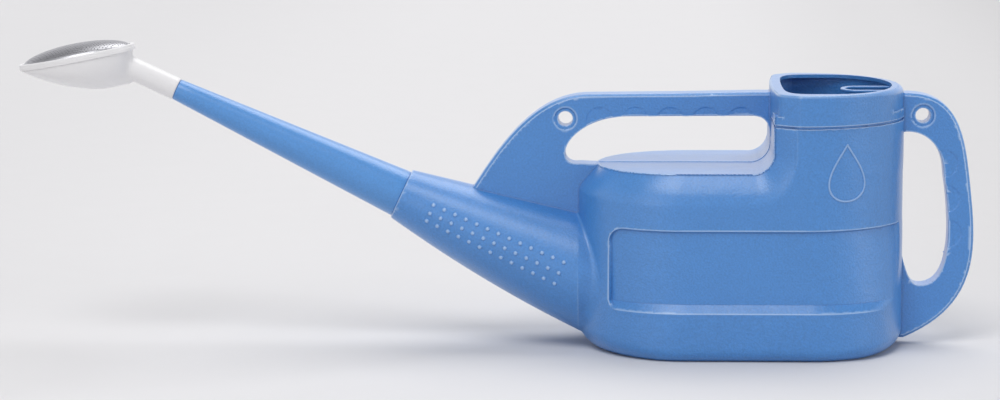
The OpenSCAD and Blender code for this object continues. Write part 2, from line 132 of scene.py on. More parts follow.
def oval(x, y, front, rear, depth, end_front=80.0, end_rear=80.0):
    """Distance from an oval with straight sides and elliptical ends."""
    y = np.maximum(np.abs(y), 0.05)
    back, fore = x - rear + end_rear, -front + end_front - x
    end = np.where(back > 0, end_rear, end_front)
    p = np.maximum(np.maximum(back, fore), 0)
    one = np.hypot(p / end, y / depth)
    return one * (one - 1) / np.hypot(p / end**2, y / depth**2)

print("oval, 10 mm outside its side:", round(float(oval(np.array(0.0), np.array(84.5), 122, 119, 74.5)), 2))

# %% [markdown]
# ## The tank's body
# The body is an oval that leans in a little towards the top. Its foot is wider, and
# a sunk belt runs round it. The belt is a second, smaller oval, and a mask says where
# it replaces the first: the mask's edges become the belt's slanted borders.

# %% Body wall
TANK_FRONT, TANK_REAR, HALF_DEPTH = 122.0, 119.0, 74.5
FOOT_TOP, BELT_FLOOR, BELT_TOP, SHOULDER = 36.0, 42.0, 96.0, 136.0

def wall_distance(x, y, z):
    lean = 1.5 / 171.5 * np.clip(z, 0, 200)
    up = np.clip((z - FOOT_TOP) / (BELT_TOP - FOOT_TOP), 0, 1)
    step = np.clip((z - FOOT_TOP) / (BELT_FLOOR - FOOT_TOP), 0, 1)
    rear = TANK_REAR + 0.6 + 8 * (1 - up) - lean / 2
    outer = oval(x, y, TANK_FRONT - lean / 3, blend(TANK_REAR + 8, rear, step),
                 blend(HALF_DEPTH + 2.5, HALF_DEPTH - lean, up))
    sunk = oval(x, y, TANK_FRONT - 2 * step - lean / 3, blend(TANK_REAR + 8, rear - 2, step),
                blend(HALF_DEPTH + 2.5, HALF_DEPTH - lean - 2, step), 79.0, 79.0)
    corner = 11.0
    u, v = -98.5 - x + corner, np.abs(z - 64) - 32 + corner
    edge = np.hypot(np.maximum(u, 0), np.maximum(v, 0)) + np.minimum(np.maximum(u, v), 0) - corner
    slant = blend(2.6, 1.4, np.clip((z - 82) / 10, 0, 1))
    strip = np.where(x > 60, (np.abs(y) - 26) / 5, 9)
    mask = np.clip(np.minimum(-edge / slant, strip), 0, 1)
    return blend(outer, sunk, mask)

print("belt depth at mid height:", round(float(
    wall_distance(np.array(0.0), np.array(74.0), np.array(70.0))
    - (74.0 - HALF_DEPTH)), 2), "mm")

# %% [markdown]
# The flat top stops at the neck with a hollow corner, and a slanted band follows the
# edge of that open space, along the top and up the neck. Both come from one distance:
# how deep a point lies under the open space, seen from the side.

# %% Shoulder, band and neck
NECK_FACE, NECK_CORNER = 20.5, 15.0

def under_open_space(x, z, stretch=1.0):
    """How far a point is from the space over the flat top, positive in the plastic."""
    u, v = NECK_CORNER - (z - SHOULDER), NECK_CORNER - (NECK_FACE - x) * stretch
    return (np.hypot(np.maximum(u, 0), np.maximum(v, 0))
            + np.minimum(np.maximum(u, v), 0) - NECK_CORNER)

def body_distance(x, y, z):
    wall = wall_distance(x, y, z)
    lean = 1.5 / 171.5 * np.clip(z, 0, 200)
    t = np.clip(1 - under_open_space(x, z, 17 / 15) / 17, -1.5, 1.5)
    bulge = 3.2 * np.clip(t, 0, 1) * np.clip(1 - t, 0, 1)
    band = 0.84 * oval(x, y, TANK_FRONT - 15 * t + bulge, TANK_REAR, HALF_DEPTH - lean - 10 * t + bulge,
                       80 - 15 * t, 80.0)
    crisp = blend(2.5, 0.6, np.clip((z - 128) / 16, 0, 1))
    deep = under_open_space(x, z)
    band = band + 0.7 * np.clip((deep - 0.7) / 0.3, 0, 1)
    body = soft_max(soft_max(wall, band, crisp), -deep - 0.5 * (np.abs(y) < 0.55), 0.3)
    end = np.clip((np.abs(x) - 62) / 55, 0, 1)
    return round_edge(body, -z, 9 + end * np.where(x < 0, 10, 5))

print("top of the band:", round(float(body_distance(np.array(-40.0), np.array(0.0), np.array(136.0))), 2))

# %% Collar round the mouth
COLLAR_FOOT, RIM = 171.5, 194.0
COLLAR_LEFT, COLLAR_DEPTH = NECK_FACE - 0.8, 75.0

def collar_plan(x, y, inset=0.0, soft=5.0):
    """Outline of the collar from above: bowed side, slanted corner, then the tank's curve."""
    y = np.abs(y)
    rear = oval(x, y, 200, TANK_REAR - 1.6 - inset, COLLAR_DEPTH - inset, 76 - inset, 76 - inset)
    slant = 0.83 * (y - COLLAR_DEPTH) - 0.56 * (x - COLLAR_LEFT - 18.7) + inset
    bow = (COLLAR_LEFT + 3.6 * (y / 62)**2 + inset - x) * 0.99
    return soft_max(soft_max(rear, slant, 0.8), bow, soft)

def collar_distance(x, y, z):
    plan = collar_plan(x, y)
    rim_edge = 1.8 + 3 * np.clip((x - 85) / 30, 0, 1)
    return soft_max(round_edge(plan, z - RIM, rim_edge), COLLAR_FOOT - z, 0.7)

print("collar width at the handle:",
      round(float(-collar_plan(np.array(60.0), np.array(0.0))), 1), "mm from its edge")

# %% [markdown]
# ## The socket cone
# The cone runs from the tank down to the round socket where the spout plugs in. Each
# of its sections is a circle between a straight top line and a bowed under line. The
# nearest section is found for each point by testing on which side of it the point is.

# %% Socket cone
LIP = np.array([-253.4, 111.8])
RISE = math.radians(25.2)
AXIS = np.array([-math.cos(RISE), math.sin(RISE)])
AXIS_UP = np.array([math.sin(RISE), math.cos(RISE)])
lip_top, lip_bottom = LIP + AXIS_UP * 19.6, LIP - AXIS_UP * 19.3
root_top, root_bottom = np.array([-121.0, 99.5]), np.array([-121.0, 9.6])
station = np.linspace(-0.12, 1.35, 60)
top_line = lip_top + (root_top - lip_top) * station[:, None]
under_curve = bezier([lip_bottom, lip_bottom + [48, -34.5], [-167.0, 32.0], root_bottom], -0.12, 1.0, 46)
under_line = np.vstack([under_curve, under_curve[-1] + np.outer(np.arange(1, 15), [2.6, 0.1])])[:60]

def cone_distance(x, y, z):
    side = np.empty((len(station),) + x.shape, np.float32)
    for i, (t, b) in enumerate(zip(top_line, under_line)):
        d = (t - b) / np.linalg.norm(t - b)
        side[i] = (x - b[0]) * d[1] - (z - b[1]) * d[0]
    first = np.clip(np.argmax(side < 0, axis=0), 1, len(station) - 1)
    first = np.where(np.all(side >= 0, axis=0), len(station) - 1, first)
    s1 = np.take_along_axis(side, first[None], 0)[0]
    s0 = np.take_along_axis(side, first[None] - 1, 0)[0]
    part = np.clip(s0 / np.where(np.abs(s0 - s1) < 1e-6, 1e-6, s0 - s1), 0, 1)
    top = top_line[first - 1] + (top_line[first] - top_line[first - 1]) * part[..., None]
    low = under_line[first - 1] + (under_line[first] - under_line[first - 1]) * part[..., None]
    middle, radius = (top + low) / 2, np.linalg.norm(top - low, axis=-1) / 2
    ring = np.sqrt((x - middle[..., 0])**2 + (z - middle[..., 1])**2 + y**2)
    return 0.96 * (ring - radius)

def past_lip(x, z):
    """Distance beyond the socket's mouth, along the spout."""
    return (x - LIP[0]) * AXIS[0] + (z - LIP[1]) * AXIS[1]

print("socket radius at the lip:", round(float(-cone_distance(*[np.array([v]) for v in (LIP[0], 0.0, LIP[1])])[0]), 1))

# %% [markdown]
# ## The handles
# Both handles are flat plates 22 mm thick, cut from a side outline: the outer edge has
# a generous radius and the finger gap a small one. Half-moon dents sit where the
# fingers go, and a round pocket with a hanging hole sits at the top of each.

# %% Handle outlines
HANDLE_HALF, GAP_END, BAR_LOW, BAR_TOP = 11.0, -133.5, 171.0, 188.0
arch = bezier([[-200, 117], [-181.5, 145.2], [-155, BAR_TOP + 0.4], [-112, BAR_TOP - 0.5]])
front_edge = np.vstack([arch, [[-51.5, BAR_TOP], [9.5, BAR_TOP + 1], [40, BAR_TOP + 1],
                               [40, 120], [-90, 90], [-185, 80]]])
gap_bow = bezier([[GAP_END + 47, BAR_LOW], [GAP_END + 2, BAR_LOW - 2], [GAP_END - 9, 133], [GAP_END + 14, 136]])
neck_bow = bezier([[20.5, 150], [20.5, 166], [17, 171.2], [7, BAR_LOW + 0.5]], steps=10)
front_gap = np.vstack([gap_bow, [[-106, 135.4], [-92, 130], [20.5, 130]], neck_bow])

reach = TANK_REAR + 50
rear_edge = np.vstack([
    [[90, BAR_TOP]],
    bezier([[111, BAR_TOP], [reach - 11, BAR_TOP + 4.4], [reach - 6.5, 160], [reach - 1.7, 118]]),
    bezier([[reach - 1.7, 118], [reach + 4, 70], [reach + 7, 26.5], [112, 2.6]], 0.04)[:-1], [[90, 5]]])
rear_gap = np.vstack([
    bezier([[100, 142], [104, 168], [reach - 22.5, 167.5], [reach - 21.4, 128]], steps=20),
    bezier([[reach - 21.4, 128], [reach - 16.2, 95], [reach - 12, 43], [130, 45.2]], 0.05, steps=20),
    bezier([[130, 45.2], [125, 45.6], [122.5, 50], [118, 66]], 0.2, steps=8), [[100, 66]]])
print("outline points:", len(front_edge), len(front_gap), len(rear_edge), len(rear_gap))

# %% Handle distance
DENT_RADIUS, FINGER_PITCH = 10.6, 26.0
front_fingers = [(GAP_END + 28 + i * FINGER_PITCH, BAR_LOW, 0.0) for i in range(5)]
rear_fingers = [(reach - 18.2 + math.sin(math.radians(4)) * i * FINGER_PITCH,
                 136 - math.cos(math.radians(4)) * i * FINGER_PITCH, math.radians(-86)) for i in range(3)]
hang_places = [(-130.9, 169.3), (131.7, 171.7)]

def bevel_edge(a, b, width, soft=0.5):
    """Where two faces meet, a slanted face that leaves the sides in crisp lines."""
    slant = (a + b * 1.25 + width) / math.hypot(1, 1.25)
    return soft_max(np.maximum(a, b), slant, soft)

def plate(x, y, z, edge, gap):
    across = np.abs(y) - HANDLE_HALF
    outside, hole = outline_distance(x, z, edge), outline_distance(x, z, gap)
    return np.maximum(bevel_edge(round_edge(outside, across, 1.5), across, 4.6), round_edge(-hole, across, 1.6))

def dented(solid, x, y, z, fingers):
    deep = np.clip(HANDLE_HALF + 0.5 - np.abs(y), 0, 2.4)
    radius, drop = DENT_RADIUS - 0.5 * deep, 2.4 + 0.4 * deep
    for fx, fz, turn in fingers:
        up = (z - fz) * math.cos(turn) - (x - fx) * math.sin(turn)
        along = (x - fx) * math.cos(turn) + (z - fz) * math.sin(turn)
        dent = np.maximum(0.8 * (np.hypot(along, up + drop) - radius), 8.8 - np.abs(y))
        solid = soft_max(solid, -dent, 1.6)
    return solid

def pocketed(solid, x, y, z):
    for px, pz in hang_places:
        r = np.hypot(x - px, z - pz)
        solid = soft_max(solid, -0.8 * np.maximum(r - 8.9 + 0.4 * (HANDLE_HALF - np.abs(y)), 8.0 - np.abs(y)), 1.0)
        solid = soft_max(solid, 5.4 - r, 0.5)
    return solid

print("finger dents:", len(front_fingers) + len(rear_fingers))

# %% [markdown]
# ## The whole moulded skin
# All the shapes are joined in one distance. The cone flows into the tank with a wide
# fillet, and the handles meet it in a crisp line, as two halves of a mould leave them.

# %% Tank distance
def tank_distance(x, y, z, dents=True):
    flow = blend(2.5, 7.0, np.clip(np.minimum((z - 12) / 12, (75 - z) / 30), 0, 1))
    body = soft_min(body_distance(x, y, z), soft_max(cone_distance(x, y, z), past_lip(x, z), 0.8), flow)
    groove = np.maximum(np.abs(z - COLLAR_FOOT + 0.8) - 0.9, -1.1 - body)
    neck_top = np.maximum(np.maximum(body, z - 178), -groove)
    solid = soft_min(neck_top, collar_distance(x, y, z), 0.2)
    near = (np.abs(y) < 20) & ((z > 60) | (x > 90))
    if near.any():
        xs, ys, zs = x[near], y[near], z[near]
        front, rear = plate(xs, ys, zs, front_edge, front_gap), plate(xs, ys, zs, rear_edge, rear_gap)
        if dents:
            front, rear = dented(front, xs, ys, zs, front_fingers), dented(rear, xs, ys, zs, rear_fingers)
        both = pocketed(np.minimum(front, rear), xs, ys, zs)
        solid = solid.copy()
        solid[near] = soft_min(solid[near], both, 0.8)
    return solid

def inside_distance(x, y, z):
    """The hollow of the tank, 2 mm inside the skin."""
    low = soft_min(np.maximum(body_distance(x, y, z), z - 180) + 2, cone_distance(x, y, z) + 2, 6.0)
    low = np.maximum(low, z - 176)
    mouth = np.maximum(np.maximum(collar_plan(x, y) + 3.2, z - (RIM - 2.6)), 160 - z)
    return np.maximum(soft_min(low, mouth, 3.0), past_lip(x, z) + 26)

print("skin at the side of the foot:", round(float(tank_distance(*[np.array([v]) for v in (0.0, 77.0, 20.0)])[0]), 2))

# %% [markdown]
# ## From a distance to a mesh
# A grid of small cells covers the shape. Where the distance changes sign along a cell's
# edge, the skin crosses it. Each crossed cell gets one corner of the mesh, placed where
# the skin's tangent planes meet. That keeps creases crisp even where no grid line
# follows them, which plain averaging would blur.

# %% Slopes of a distance
def slope(field, p, step=0.25):
    """Unit direction in which the distance grows, at the rows of p."""
    k = np.array([[1, -1, -1], [-1, -1, 1], [-1, 1, -1], [1, 1, 1]], float)
    g = sum(d * field(*(p + d * step).T)[:, None] for d in k)
    return g / np.maximum(np.linalg.norm(g, axis=1, keepdims=True), 1e-9)

def grid_line(low, high, step, finer=()):
    """Grid positions from low to high, closer together in the finer stretches."""
    line, at = [low], low
    while at < high:
        fine = [s for a, b, s in finer if a - step <= at <= b]
        at += min(fine) if fine else step
        line.append(at)
    return np.array(line)

def sample(field, axes):
    """The distance at each grid point, one layer of x at a time."""
    yy, zz = np.meshgrid(axes[1], axes[2], indexing="ij")
    return np.stack([field(np.full(yy.shape, x), yy, zz) for x in axes[0]])

print("slope at the side of the foot:", slope(tank_distance, np.array([[0.0, 77.0, 20.0]])).round(2))

# %% Mesh from a distance
def skin_mesh(field, axes, mirror=False):
    """Corners and four-sided faces of the surface where the field is zero, on the given grid lines.
    With mirror, the grid's y is the positive half and the other half is its mirror image."""
    axes = [np.asarray(a, float) for a in axes]
    value = sample(field, axes)
    if mirror:
        value, axes[1] = np.concatenate([value[:, ::-1], value], 1), np.concatenate([-axes[1][::-1], axes[1]])
    solid = value < 0
    shape = np.array(value.shape) - 1
    hits, owners, faces = [], [], []
    for a in range(3):
        one = [slice(None)] * 3; two = [slice(None)] * 3
        one[a], two[a] = slice(None, -1), slice(1, None)
        va, vb = value[tuple(one)], value[tuple(two)]
        cross = np.argwhere(solid[tuple(one)] != solid[tuple(two)])
        inner = np.ones(len(cross), bool)
        for b in range(3):
            if b != a:
                inner &= (cross[:, b] > 0) & (cross[:, b] < value.shape[b] - 1)
        cross = cross[inner]
        f0, f1 = va[tuple(cross.T)], vb[tuple(cross.T)]
        p = np.stack([axes[i][cross[:, i]] for i in range(3)], 1)
        p[:, a] += (axes[a][cross[:, a] + 1] - p[:, a]) * f0 / (f0 - f1)
        b, c = (a + 1) % 3, (a + 2) % 3
        around = []
        for db, dc in ((0, 0), (1, 0), (1, 1), (0, 1)):
            cell = cross.copy(); cell[:, b] -= db; cell[:, c] -= dc
            around.append(cell)
        hits.append(p); owners.append(np.stack(around, 1))
        order = np.where((f0 < 0)[:, None], [[0, 1, 2, 3]], [[3, 2, 1, 0]])
        faces.append(np.take_along_axis(owners[-1], order[:, :, None], 1))
    hits, owners, faces = np.vstack(hits), np.vstack(owners), np.vstack(faces)
    for _ in range(2):
        n = slope(field, hits)
        hits = hits - n * np.clip(field(*hits.T), -0.9, 0.9)[:, None]
    n = slope(field, hits)
    flat = np.ravel_multi_index(owners.reshape(-1, 3).T, shape)
    cells, index = np.unique(flat, return_inverse=True)
    point, normal = np.repeat(hits, 4, 0), np.repeat(n, 4, 0)
    count = np.bincount(index)[:, None]
    mean = np.stack([np.bincount(index, point[:, i]) for i in range(3)], 1) / count
    away = point - mean[index]
    ata = np.empty((len(cells), 3, 3)); atb = np.empty((len(cells), 3))
    pull = np.einsum("ij,ij->i", normal, away)
    for i in range(3):
        atb[:, i] = np.bincount(index, normal[:, i] * pull)
        for j in range(3):
            ata[:, i, j] = np.bincount(index, normal[:, i] * normal[:, j])
    move = np.linalg.solve(ata + 0.05 * np.eye(3), atb[..., None])[..., 0]
    at = np.stack(np.unravel_index(cells, shape), 1)
    low = np.stack([axes[i][at[:, i]] for i in range(3)], 1)
    high = np.stack([axes[i][at[:, i] + 1] for i in range(3)], 1)
    verts = np.clip(mean + move, low, high)
    lookup = np.searchsorted(cells, np.ravel_multi_index(faces.reshape(-1, 3).T, shape))
    return verts, lookup.reshape(-1, 4)

def halved(verts, tris, field, shortest, bend, tolerance):
    """Splits the edges that bend too much or lie off the surface, and moves the new corners on to it."""
    edges = np.sort(np.vstack([tris[:, [0, 1]], tris[:, [1, 2]], tris[:, [2, 0]]]), 1)
    code, index = np.unique(edges[:, 0] * len(verts) + edges[:, 1], return_inverse=True)
    a, b = code // len(verts), code % len(verts)
    n = slope(field, verts, 0.12)
    middle = (verts[a] + verts[b]) / 2
    long = np.linalg.norm(verts[a] - verts[b], axis=1) > shortest
    bent = np.einsum("ij,ij->i", n[a], n[b]) < math.cos(math.radians(bend))
    mark = long & bent
    rest = np.flatnonzero(long & ~bent)
    mark[rest[np.abs(field(*middle[rest].T)) > tolerance]] = True
    number = np.where(mark, np.cumsum(mark) - 1 + len(verts), -1)
    new = middle[mark]
    for _ in range(2):
        new = new - slope(field, new, 0.12) * np.clip(field(*new.T), -0.6, 0.6)[:, None]
    m = number[index].reshape(3, -1).T
    count = (m >= 0).sum(1)
    out = [tris[count == 0]]
    for k in (1, 2, 3):
        t, e = tris[count == k], m[count == k]
        first = np.argmax(e >= 0, 1) if k == 1 else (np.argmin(e, 1) + 1) % 3 if k == 2 else np.zeros(len(t), int)
        order = (first[:, None] + np.arange(3)) % 3
        t, e = np.take_along_axis(t, order, 1), np.take_along_axis(e, order, 1)
        (p, q, r), (pq, qr, rp) = t.T, e.T
        parts = {1: [(p, pq, r), (pq, q, r)], 2: [(pq, q, qr), (p, pq, r), (pq, qr, r)],
                 3: [(p, pq, rp), (pq, q, qr), (rp, qr, r), (pq, qr, rp)]}[k]
        out += [np.stack(part, 1) for part in parts]
    return np.vstack([verts, new]), np.vstack(out)

def refined(verts, quads, field, levels, shortest=0.9, bend=14.0, tolerance=0.07):
    """Cuts four-sided faces into triangles and makes them finer along the creases."""
    split = np.linalg.norm(verts[quads[:, 0]] - verts[quads[:, 2]], axis=1) < np.linalg.norm(
        verts[quads[:, 1]] - verts[quads[:, 3]], axis=1)
    tris = np.vstack([quads[split][:, [0, 1, 2]], quads[split][:, [0, 2, 3]],
                      quads[~split][:, [0, 1, 3]], quads[~split][:, [1, 2, 3]]])
    for _ in range(levels):
        verts, tris = halved(verts, tris, field, shortest, bend, tolerance)
    return verts, tris

test_ball = skin_mesh(lambda x, y, z: np.sqrt(x**2 + y**2 + z**2) - 10, [grid_line(-12, 12, 2.0)] * 3)
print("test ball:", len(test_ball[0]), "corners,", len(test_ball[1]), "faces")

# %% Build an object from corners and faces
def make_object(name, verts, faces):
    """An object with smooth faces, from corners in mm."""
    mesh = bpy.data.meshes.new(name)
    mesh.from_pydata(np.asarray(verts, float) * MM, [], [list(map(int, f)) for f in faces])
    mesh.update()
    mesh.polygons.foreach_set("use_smooth", [True] * len(mesh.polygons))
    made = bpy.data.objects.new(name, mesh)
    bpy.context.scene.collection.objects.link(made)
    return made

SKIN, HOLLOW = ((3.0, 6.0))
skin = skin_mesh(tank_distance, [
    grid_line(-266, 174, SKIN, [(-133, -105, SKIN / 2), (-100.5, -94, 1.2), (17, 21, 1.0)]),
    grid_line(0.25, 80, SKIN, [(0, 1.2, 0.4), (8, 12, 1.5)]),
    grid_line(-3, 199, SKIN, [(35, 43, 1.4), (93.5, 97.5, 1.4), (134, 137, 0.8),
                              (169, 172.5, 0.6), (191, 195, 1.2)])],
    mirror=True)
skin = refined(*skin, tank_distance, 2)
skin[0][:, 2] = np.maximum(skin[0][:, 2], 0)
hollow = skin_mesh(inside_distance, [
    grid_line(-240, 130, HOLLOW), grid_line(HOLLOW / 2, 80, HOLLOW),
    grid_line(-3, 199, HOLLOW, [(186, 194, HOLLOW / 2)])], mirror=True)
hollow = refined(*hollow, inside_distance, 1, shortest=4.0, bend=25.0, tolerance=0.5)
print("tank skin:", len(skin[1]), "faces, hollow:", len(hollow[1]), "faces")

# %% [markdown]
# The hollow is a second closed surface turned inside out. Together they make one body
# with a wall. The mouth, the socket's bore and the hanging holes are then cut with
# plain tools, so those edges are exact.

# %% Cutting tools
def prism(name, outline, low, high):
    """A closed solid from an outline of x and y, between two heights."""
    n = len(outline)
    verts = [(x, y, low) for x, y in outline] + [(x, y, high) for x, y in outline]
    faces = [list(range(n))[::-1], list(range(n, 2 * n))]
    faces += [[i, (i + 1) % n, (i + 1) % n + n, i + n] for i in range(n)]
    return make_object(name, verts, faces)

def rod(name, start, end, radius, count=96):
    """A closed cylinder between two points, in mm."""
    start, end = Vector(start), Vector(end)
    turn = (end - start).to_track_quat("Z", "Y").to_matrix().to_4x4()
    verts, faces = [], []
    for p in (start, end):
        verts += [tuple(p + turn @ Vector((radius * math.cos(2 * math.pi * i / count),
                                           radius * math.sin(2 * math.pi * i / count), 0))) for i in range(count)]
    faces = [list(range(count))[::-1], list(range(count, 2 * count))]
    faces += [[i, (i + 1) % count, (i + 1) % count + count, i + count] for i in range(count)]
    return make_object(name, verts, faces)

def cut(target, tools):
    for tool in tools:
        step = target.modifiers.new("cut", "BOOLEAN")
        step.operation, step.object, step.solver = "DIFFERENCE", tool, "MANIFOLD"
    bpy.context.view_layer.update()
    shaped = bpy.data.meshes.new_from_object(target.evaluated_get(bpy.context.evaluated_depsgraph_get()))
    target.modifiers.clear()
    target.data = shaped
    for tool in tools:
        bpy.data.objects.remove(tool)
    return target

def mouth_outline(count=56):
    """The opening seen from above: bowed sides, round at the handle end."""
    a = np.linspace(-np.pi / 2, np.pi / 2, count)
    rear = np.stack([64 + 45 * np.cos(a), 62.4 * np.sin(a)], 1)
    corner = bezier([[50, 62.4], [34, 62.4], [30, 55], [28.6, 34]], steps=16)
    side = bezier([[28.6, 34], [27.6, 16], [27.6, -16], [28.6, -34]], steps=12)
    return np.vstack([rear, corner[:-1], side, (corner * [1, -1])[::-1][1:]])

tank_skin = make_object("tank_skin", np.vstack([skin[0], hollow[0]]),
                        np.vstack([skin[1], hollow[1][:, ::-1] + len(skin[0])]))
socket_from, socket_to = LIP + AXIS * 2, LIP - AXIS * 32
cut(tank_skin, [
    prism("mouth_tool", mouth_outline(), 186, 200),
    rod("socket_tool", (socket_from[0], 0, socket_from[1]), (socket_to[0], 0, socket_to[1]), 17.3),
    *[rod("hang_tool", (x, -20, z), (x, 20, z), 5.4, 64) for x, z in hang_places]])
print("tank skin after the cuts:", len(tank_skin.data.polygons), "faces")

# %% [markdown]
# Shading needs a direction for every face corner. Here it is taken from the distance
# itself, a little inside the face, so that rounded parts shine smoothly and creases
# stay sharp. Faces left by the cutting tools keep their own flat direction.

# %% Shading from the distance
def shade_by(target, fields, pull=0.3, near=0.35):
    mesh = target.data
    co = np.empty(len(mesh.vertices) * 3); mesh.vertices.foreach_get("co", co)
    co = co.reshape(-1, 3) / MM
    vert = np.empty(len(mesh.loops), int); mesh.loops.foreach_get("vertex_index", vert)
    first = np.empty(len(mesh.polygons), int); mesh.polygons.foreach_get("loop_start", first)
    total = np.empty(len(mesh.polygons), int); mesh.polygons.foreach_get("loop_total", total)
    flat = np.empty(len(mesh.polygons) * 3); mesh.polygons.foreach_get("normal", flat)
    face = np.repeat(np.arange(len(first)), total)
    centre = np.stack([np.bincount(face, co[vert][:, i]) for i in range(3)], 1) / total[:, None]
    flat = flat.reshape(-1, 3)[face]
    point = co[vert] * (1 - pull) + centre[face] * pull
    normal, best = flat.copy(), np.full(len(vert), near)
    for field, sign in fields:
        value = np.abs(field(*point.T))
        n = slope(field, point, 0.12) * sign
        good = (value < best) & (np.einsum("ij,ij->i", n, flat) > 0.6)
        normal[good], best[good] = n[good], value[good]
    mesh.normals_split_custom_set(normal.tolist())
    return int((best < near).sum()), len(vert)

shaded = shade_by(tank_skin, [(tank_distance, 1), (inside_distance, -1)])
print("corners shaded from the distance:", shaded[0], "of", shaded[1])

# %% [markdown]
# Outer edges get a painted highlight, a paler blue where the light would catch them, and
# inner corners and finger dents get painted shade. How sharply the skin bends at a point tells which is which, so
# each corner of the mesh keeps that number for its material to use.

# %% Mark the edges for painted light and shade
def mark_values(target, values):
    kept = target.data.attributes.new("painted_light_and_shade", "FLOAT", "POINT")
    kept.data.foreach_set("value", np.asarray(values, np.float32))

def mark_edges(target, field, painted_shade, reach=0.7):
    """Keeps how sharply the skin bends, above 0 on outer edges and below 0 in inner corners and finger dents, for a
    painted highlight on the edges and painted shade in the corners and dents.
    """
    mesh = target.data
    co = np.empty(len(mesh.vertices) * 3); mesh.vertices.foreach_get("co", co)
    co = co.reshape(-1, 3) / MM
    bend = -6 * field(*co.T)
    for axis in range(3):
        for way in (-reach, reach):
            step = np.zeros(3); step[axis] = way
            bend = bend + field(*(co + step).T)
    bend = np.clip(bend / reach, -1, 1) * (np.abs(field(*co.T)) < 0.6) - 0.6 * painted_shade(*co.T)
    mark_values(target, bend)
    return bend

# Painted shade: the finger dents are darkened by how deep a point lies in them.
def shaded_dents(x, y, z):
    """How deep a point of the skin lies inside a finger dent, 0 elsewhere."""
    on_grips = (z > 60) * (np.abs(y) > 8.6) * (tank_distance(x, y, z) > -0.4)
    return np.clip(-0.4 - tank_distance(x, y, z, False), 0, 1.2) * on_grips

bend = mark_edges(tank_skin, lambda x, y, z: tank_distance(x, y, z, False), shaded_dents)
print("corners on outer edges:", int((bend > 0.3).sum()), "in inner corners:", int((bend < -0.3).sum()))

# %% [markdown]
# ## The spout
# The spout is a plain tapered tube with a round shoulder at the socket. It is turned
# from one profile about its own axis, with its plug and the groove for the seal, so
# that it is whole when it is pulled out.

# %% Turned parts
def on_axis(points):
    """From the spout's own frame, with Z along the spout, to the can's."""
    p = np.asarray(points, float)
    return np.stack([LIP[0] + p[:, 0] * AXIS_UP[0] + p[:, 2] * AXIS[0], p[:, 1],
                     LIP[1] + p[:, 0] * AXIS_UP[1] + p[:, 2] * AXIS[1]], 1)

SHARP = math.radians(32)  # edges that bend more than this stay crisp

def turned(name, profile, count=128):
    """A closed ring profile of radius and height, turned about the axis."""
    a = 2 * np.pi * np.arange(count) / count
    verts = np.vstack([np.stack([r * np.cos(a), r * np.sin(a), np.full(count, h)], 1) for r, h in profile])
    n = len(profile)
    faces = [[i * count + k, i * count + (k + 1) % count,
              ((i + 1) % n) * count + (k + 1) % count, ((i + 1) % n) * count + k]
             for i in range(n) for k in range(count)]
    made = make_object(name, on_axis(verts), faces)
    made.data.set_sharp_from_angle(angle=SHARP)
    return made

SPOUT, PLUG, TIP_BORE = 184.5, 28.0, 6.4
shoulder = [(17.9 - 1.6 * (1 - math.sin(a)), 1.6 * (1 - math.cos(a))) for a in np.radians([20, 40, 60, 80])]
taper = [(17.9 - 9.9 * h / SPOUT, h) for h in (1.6, 12, 40, 75, 110, 145, 170, SPOUT - 1.1)]
spout_profile = ([(13.8, -PLUG), (15.8, -PLUG), (16.6, -27.4), (17.0, -26), (17.0, -12.0), (15.1, -12.0),
                  (15.1, -8.0), (17.0, -8.0), (17.0, 0.0), (17.35, 0.0)]
                 + [(17.72, 0.35)] + taper
                 + [(7.85, SPOUT - 0.4), (7.5, SPOUT), (6.8, SPOUT), (TIP_BORE, SPOUT - 0.5)]
                 + [(TIP_BORE, SPOUT - 31), (7.0, SPOUT - 33)]
                 + [(15.1, 8.0), (13.8, 2.0)])
spout = turned("spout_tube", spout_profile)
along = np.array([past_lip(v.co.x / MM, v.co.z / MM) for v in spout.data.vertices])
# Painted shadow: the last 0.7 mm of the spout's tip is marked for the dark painted shade, where the rose's spigot goes
# in.
mark_values(spout, np.where(along > SPOUT - 0.7, -1.0, 0.0))
print("spout tube:", len(spout.data.polygons), "faces")

# %% [markdown]
# ## The rose
# The rose is an oval bowl with a pipe, a snap ring and a domed face of thin steel. All
# its parts are made in the rose's own frame, which lies tilted on the spout's end.

# %% Rose frame
TILT = math.radians(10.7)
FACE, OUT = np.array([math.cos(TILT), math.sin(TILT)]), np.array([-math.sin(TILT), math.cos(TILT)])
ROSE_LENGTH, ROSE_WIDTH, BOWL_DEPTH, RING = 88.4, 54.0, 29.4, 4.4
joint = LIP + AXIS * (SPOUT + 35.4)
ROSE = joint - FACE * ROSE_LENGTH * 0.449 + OUT * BOWL_DEPTH * 0.653

def on_rose(points):
    p = np.asarray(points, float)
    return np.stack([ROSE[0] + p[:, 0] * FACE[0] + p[:, 2] * OUT[0], p[:, 1],
                     ROSE[1] + p[:, 0] * FACE[1] + p[:, 2] * OUT[1]], 1)

def to_rose(x, z):
    return (x - ROSE[0]) * FACE[0] + (z - ROSE[1]) * FACE[1], (x - ROSE[0]) * OUT[0] + (z - ROSE[1]) * OUT[1]

print("middle of the rose:", ROSE.round(1), "mm")

# %% Bowl distance
BOWL_A, BOWL_B = ROSE_LENGTH / 2 - 0.8, ROSE_WIDTH / 2 - 0.8

